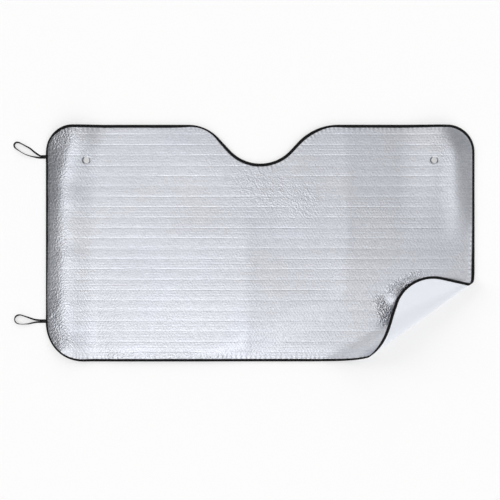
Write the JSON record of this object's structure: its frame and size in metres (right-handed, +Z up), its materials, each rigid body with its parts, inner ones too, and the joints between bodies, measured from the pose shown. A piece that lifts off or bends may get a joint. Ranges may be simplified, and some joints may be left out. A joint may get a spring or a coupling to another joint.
{
  "type": "car windscreen sunshade",
  "caption": "Folding car windscreen sunshade of ribbed silver foil with a white back, black edge binding, elastic loops, mirror notch and one rolled corner.",
  "frame": {"origin": "on the floor, under the middle of the panel", "axes": "+X along the windscreen, away from the elastic loops; +Y towards the mirror notch; +Z up, out of the silver face"},
  "size_m": [1.5581, 0.8, 0.0917],
  "materials": {
    "silver_foil": "metallised plastic film over air bubbles, satin",
    "white_film": "smooth white polyethylene film, semi-matt",
    "black_tape": "woven polyester binding tape, matt",
    "black_elastic": "flat braided elastic, matt"
  },
  "bodies": {
    "root": {"front_foil_sheet": "silver_foil", "back_film_sheet": "white_film", "edge_binding": "black_tape", "upper_elastic_loop": "black_elastic", "lower_elastic_loop": "black_elastic"}
  },
  "joints": []
}
